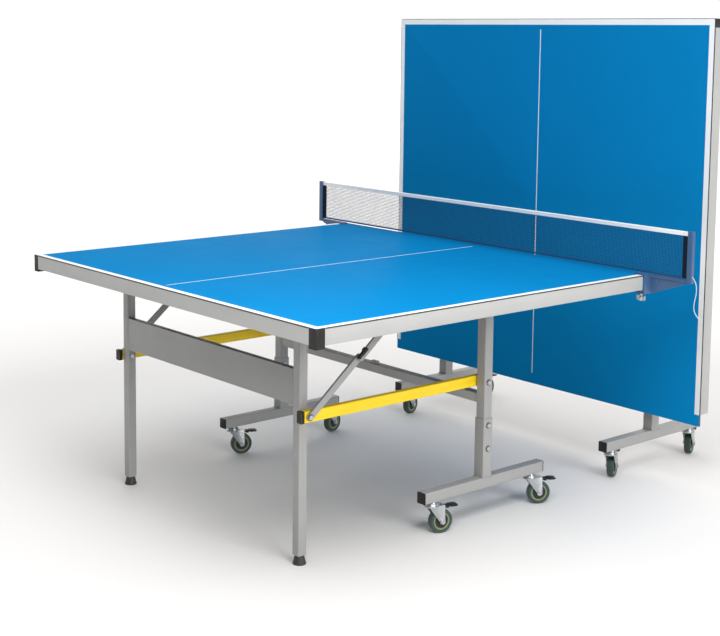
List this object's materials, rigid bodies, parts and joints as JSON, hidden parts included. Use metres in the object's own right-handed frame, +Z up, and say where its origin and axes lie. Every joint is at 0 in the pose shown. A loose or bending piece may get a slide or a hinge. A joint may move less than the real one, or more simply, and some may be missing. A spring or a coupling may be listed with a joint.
{
  "type": "table tennis table",
  "caption": "Folding table-tennis table: one half lowered with its net, the other rolled up close and folded upright, each on a castor trolley.",
  "frame": {"origin": "centre of the footprint, on the floor, without the loose end of the net cord", "axes": "+Z up, +X along the net, +Y from the lowered half to the upright half"},
  "size_m": [1.8791, 2.0222, 1.576],
  "materials": {
    "board_blue": "smooth satin playing surface of resin laminate",
    "apron_silver": "light silver-grey powder coat",
    "frame_grey": "silver-grey powder coat",
    "panel_grey": "silver-grey powder coat on sheet",
    "black_plastic": "moulded, fine grain",
    "foot_plastic": "moulded",
    "pedal_black": "moulded",
    "zinc": "bright zinc plate",
    "stay_steel": "silver-grey powder coat",
    "bar_yellow": "yellow powder coat",
    "wheel_rubber": "grey-green elastic tyre on a pale hub",
    "net_post_blue": "dark blue powder coat",
    "net_fabric": "knotted mesh with a white tape along the top",
    "cord_white": "braided cord"
  },
  "bodies": {
    "near_trolley": {"near_base_rails": "frame_grey", "near_rail_caps": "black_plastic", "near_upright_frame": "frame_grey", "near_trolley_bolts": "zinc"},
    "near_top": {"near_board": "board_blue", "near_top_frame": "apron_silver", "near_corner_caps": "black_plastic", "net_posts": "net_post_blue", "net": "net_fabric", "net_cord": "cord_white", "net_cord_knot": "cord_white"},
    "near_legs": {"near_end_legs": "frame_grey", "near_kick_panel": "panel_grey", "near_leg_bolts": "zinc"},
    "near_left_foot": {"near_left_foot": "foot_plastic"},
    "near_right_foot": {"near_right_foot": "foot_plastic"},
    "near_bars": {"near_fold_bars": "bar_yellow"},
    "near_lower_stays": {"near_lower_stays": "stay_steel"},
    "near_upper_stays": {"near_upper_stays": "stay_steel", "near_stay_latches": "black_plastic"},
    "far_trolley": {"far_base_rails": "frame_grey", "far_rail_caps": "black_plastic", "far_upright_frame": "frame_grey", "far_trolley_bolts": "zinc"},
    "far_top": {"far_board": "board_blue", "far_top_frame": "apron_silver", "far_corner_caps": "black_plastic"},
    "far_legs": {"far_end_legs": "frame_grey", "far_kick_panel": "panel_grey", "far_leg_bolts": "zinc"},
    "far_left_foot": {"far_left_foot": "foot_plastic"},
    "far_right_foot": {"far_right_foot": "foot_plastic"},
    "far_bars": {"far_fold_bars": "bar_yellow"},
    "far_lower_stays": {"far_lower_stays": "stay_steel"},
    "far_upper_stays": {"far_upper_stays": "stay_steel", "far_stay_latches": "black_plastic"},
    "net_clamp_screw_left": {"net_clamp_screw_left": "zinc"},
    "net_clamp_screw_right": {"net_clamp_screw_right": "zinc"},
    "near_right_end_castor": {"near_right_end_castor_fork": "zinc"},
    "near_right_end_wheel": {"near_right_end_castor_wheel": "wheel_rubber"},
    "near_right_end_pedal": {"near_right_end_castor_pedal": "pedal_black"},
    "near_right_net_castor": {"near_right_net_castor_fork": "zinc"},
    "near_right_net_wheel": {"near_right_net_castor_wheel": "wheel_rubber"},
    "near_right_net_pedal": {"near_right_net_castor_pedal": "pedal_black"},
    "near_left_end_castor": {"near_left_end_castor_fork": "zinc"},
    "near_left_end_wheel": {"near_left_end_castor_wheel": "wheel_rubber"},
    "near_left_end_pedal": {"near_left_end_castor_pedal": "pedal_black"},
    "near_left_net_castor": {"near_left_net_castor_fork": "zinc"},
    "near_left_net_wheel": {"near_left_net_castor_wheel": "wheel_rubber"},
    "far_right_net_castor": {"far_right_net_castor_fork": "zinc"},
    "far_right_net_wheel": {"far_right_net_castor_wheel": "wheel_rubber"},
    "far_right_net_pedal": {"far_right_net_castor_pedal": "pedal_black"},
    "far_right_end_castor": {"far_right_end_castor_fork": "zinc"},
    "far_right_end_wheel": {"far_right_end_castor_wheel": "wheel_rubber"},
    "far_right_end_pedal": {"far_right_end_castor_pedal": "pedal_black"},
    "far_left_net_castor": {"far_left_net_castor_fork": "zinc"},
    "far_left_net_wheel": {"far_left_net_castor_wheel": "wheel_rubber"},
    "far_left_end_castor": {"far_left_end_castor_fork": "zinc"},
    "far_left_end_wheel": {"far_left_end_castor_wheel": "wheel_rubber"},
    "far_left_end_pedal": {"far_left_end_castor_pedal": "pedal_black"}
  },
  "joints": [
    {"name": "near_top_fold", "type": "hinge", "parent": "near_trolley", "child": "near_top", "pos_m": [0, -0.1411, 0.706], "axis": [-1, 0, 0], "range_deg": [0, 90]},
    {"name": "near_legs_swing", "type": "hinge", "parent": "near_top", "child": "near_legs", "pos_m": [0, -0.8231, 0.706], "axis": [-1, 0, 0], "range_deg": [-90, 0]},
    {"name": "near_bars_swing", "type": "hinge", "parent": "near_trolley", "child": "near_bars", "pos_m": [0, -0.1411, 0.44], "axis": [-1, 0, 0], "range_deg": [0, 90]},
    {"name": "near_lower_stays_swing", "type": "hinge", "parent": "near_bars", "child": "near_lower_stays", "pos_m": [0, -0.8231, 0.44], "axis": [-1, 0, 0], "range_deg": [0, 71.74]},
    {"name": "near_upper_stays_swing", "type": "hinge", "parent": "near_top", "child": "near_upper_stays", "pos_m": [0, -0.5011, 0.706], "axis": [-1, 0, 0], "range_deg": [-99.07, 0]},
    {"name": "far_half_roll", "type": "slide", "parent": "near_trolley", "child": "far_trolley", "axis": [0, 1, 0], "range_m": [0, 0.165]},
    {"name": "far_top_lower", "type": "hinge", "parent": "far_trolley", "child": "far_top", "pos_m": [0, 0.7059, 0.706], "axis": [-1, 0, 0], "range_deg": [0, 90]},
    {"name": "far_legs_swing", "type": "hinge", "parent": "far_top", "child": "far_legs", "pos_m": [0, 0.7059, 1.388], "axis": [-1, 0, 0], "range_deg": [-90, 0]},
    {"name": "far_bars_swing", "type": "hinge", "parent": "far_trolley", "child": "far_bars", "pos_m": [0, 0.7059, 0.44], "axis": [-1, 0, 0], "range_deg": [0, 90]},
    {"name": "far_lower_stays_swing", "type": "hinge", "parent": "far_bars", "child": "far_lower_stays", "pos_m": [0, 0.7059, 1.122], "axis": [-1, 0, 0], "range_deg": [0, 71.74]},
    {"name": "far_upper_stays_swing", "type": "hinge", "parent": "far_top", "child": "far_upper_stays", "pos_m": [0, 0.7059, 1.066], "axis": [-1, 0, 0], "range_deg": [-99.07, 0]},
    {"name": "near_left_foot_thread", "type": "slide", "parent": "near_legs", "child": "near_left_foot", "axis": [0, 0, -1], "range_m": [0, 0.012]},
    {"name": "near_right_foot_thread", "type": "slide", "parent": "near_legs", "child": "near_right_foot", "axis": [0, 0, -1], "range_m": [0, 0.012]},
    {"name": "far_left_foot_thread", "type": "slide", "parent": "far_legs", "child": "far_left_foot", "axis": [0, 0, -1], "range_m": [0, 0.012]},
    {"name": "far_right_foot_thread", "type": "slide", "parent": "far_legs", "child": "far_right_foot", "axis": [0, 0, -1], "range_m": [0, 0.012]},
    {"name": "near_right_end_swivel", "type": "hinge", "parent": "near_trolley", "child": "near_right_end_castor", "pos_m": [0.521, -0.3601, 0], "axis": [0, 0, 1], "continuous": true},
    {"name": "near_right_end_wheel_spin", "type": "hinge", "parent": "near_right_end_castor", "child": "near_right_end_wheel", "pos_m": [0.52877, -0.33112, 0.0375], "axis": [-0.9659, 0.2588, 0], "continuous": true},
    {"name": "near_right_end_pedal_press", "type": "hinge", "parent": "near_right_end_castor", "child": "near_right_end_pedal", "pos_m": [0.52721, -0.33692, 0.0815], "axis": [-0.9659, 0.2588, 0], "range_deg": [0, 8]},
    {"name": "near_right_net_swivel", "type": "hinge", "parent": "near_trolley", "child": "near_right_net_castor", "pos_m": [0.521, 0.0779, 0], "axis": [0, 0, 1], "continuous": true},
    {"name": "near_right_net_wheel_spin", "type": "hinge", "parent": "near_right_net_castor", "child": "near_right_net_wheel", "pos_m": [0.53508, 0.10439, 0.0375], "axis": [-0.8829, 0.4695, 0], "continuous": true},
    {"name": "near_right_net_pedal_press", "type": "hinge", "parent": "near_right_net_castor", "child": "near_right_net_pedal", "pos_m": [0.53227, 0.09909, 0.0815], "axis": [-0.8829, 0.4695, 0], "range_deg": [0, 8]},
    {"name": "near_left_end_swivel", "type": "hinge", "parent": "near_trolley", "child": "near_left_end_castor", "pos_m": [-0.521, -0.3601, 0], "axis": [0, 0, 1], "continuous": true},
    {"name": "near_left_end_wheel_spin", "type": "hinge", "parent": "near_left_end_castor", "child": "near_left_end_wheel", "pos_m": [-0.50976, -0.33228, 0.0375], "axis": [-0.9272, 0.3746, 0], "continuous": true},
    {"name": "near_left_end_pedal_press", "type": "hinge", "parent": "near_left_end_castor", "child": "near_left_end_pedal", "pos_m": [-0.51201, -0.33785, 0.0815], "axis": [-0.9272, 0.3746, 0], "range_deg": [0, 8]},
    {"name": "near_left_net_swivel", "type": "hinge", "parent": "near_trolley", "child": "near_left_net_castor", "pos_m": [-0.521, 0.0779, 0], "axis": [0, 0, 1], "continuous": true},
    {"name": "near_left_net_wheel_spin", "type": "hinge", "parent": "near_left_net_castor", "child": "near_left_net_wheel", "pos_m": [-0.52621, 0.10744, 0.0375], "axis": [-0.9848, -0.1736, 0], "continuous": true},
    {"name": "far_right_net_swivel", "type": "hinge", "parent": "far_trolley", "child": "far_right_net_castor", "pos_m": [0.521, 0.4869, 0], "axis": [0, 0, 1], "continuous": true},
    {"name": "far_right_net_wheel_spin", "type": "hinge", "parent": "far_right_net_castor", "child": "far_right_net_wheel", "pos_m": [0.50785, 0.51386, 0.0375], "axis": [-0.8988, -0.4384, 0], "continuous": true},
    {"name": "far_right_net_pedal_press", "type": "hinge", "parent": "far_right_net_castor", "child": "far_right_net_pedal", "pos_m": [0.51048, 0.50847, 0.0815], "axis": [-0.8988, -0.4384, 0], "range_deg": [0, 8]},
    {"name": "far_right_end_swivel", "type": "hinge", "parent": "far_trolley", "child": "far_right_end_castor", "pos_m": [0.521, 0.9249, 0], "axis": [0, 0, 1], "continuous": true},
    {"name": "far_right_end_wheel_spin", "type": "hinge", "parent": "far_right_end_castor", "child": "far_right_end_wheel", "pos_m": [0.5088, 0.95231, 0.0375], "axis": [-0.9135, -0.4067, 0], "continuous": true},
    {"name": "far_right_end_pedal_press", "type": "hinge", "parent": "far_right_end_castor", "child": "far_right_end_pedal", "pos_m": [0.51124, 0.94683, 0.0815], "axis": [-0.9135, -0.4067, 0], "range_deg": [0, 8]},
    {"name": "far_left_net_swivel", "type": "hinge", "parent": "far_trolley", "child": "far_left_net_castor", "pos_m": [-0.521, 0.4869, 0], "axis": [0, 0, 1], "continuous": true},
    {"name": "far_left_net_wheel_spin", "type": "hinge", "parent": "far_left_net_castor", "child": "far_left_net_wheel", "pos_m": [-0.52826, 0.51601, 0.0375], "axis": [-0.9703, -0.2419, 0], "continuous": true},
    {"name": "far_left_end_swivel", "type": "hinge", "parent": "far_trolley", "child": "far_left_end_castor", "pos_m": [-0.521, 0.9249, 0], "axis": [0, 0, 1], "continuous": true},
    {"name": "far_left_end_wheel_spin", "type": "hinge", "parent": "far_left_end_castor", "child": "far_left_end_wheel", "pos_m": [-0.52621, 0.95444, 0.0375], "axis": [-0.9848, -0.1736, 0], "continuous": true},
    {"name": "far_left_end_pedal_press", "type": "hinge", "parent": "far_left_end_castor", "child": "far_left_end_pedal", "pos_m": [-0.52517, 0.94854, 0.0815], "axis": [-0.9848, -0.1736, 0], "range_deg": [0, 8]},
    {"name": "net_clamp_left_turn", "type": "hinge", "parent": "near_top", "child": "net_clamp_screw_left", "pos_m": [-0.747, 0.3329, 0.7], "axis": [0, 0, 1], "range_deg": [0, 720]},
    {"name": "net_clamp_right_turn", "type": "hinge", "parent": "near_top", "child": "net_clamp_screw_right", "pos_m": [0.747, 0.3329, 0.7], "axis": [0, 0, 1], "range_deg": [0, 720]}
  ],
  "couplings": [
    {"joint": "near_legs_swing", "follows": "near_top_fold", "ratio": -1},
    {"joint": "near_bars_swing", "follows": "near_top_fold", "ratio": 1},
    {"joint": "near_lower_stays_swing", "follows": "near_top_fold", "ratio": 0.79702},
    {"joint": "near_upper_stays_swing", "follows": "near_top_fold", "ratio": -1.1007},
    {"joint": "far_legs_swing", "follows": "far_top_lower", "ratio": -1},
    {"joint": "far_bars_swing", "follows": "far_top_lower", "ratio": 1},
    {"joint": "far_lower_stays_swing", "follows": "far_top_lower", "ratio": 0.79702},
    {"joint": "far_upper_stays_swing", "follows": "far_top_lower", "ratio": -1.1007},
    {"joint": "far_half_roll", "follows": "far_top_lower", "m_per_rad": 0.10504}
  ]
}
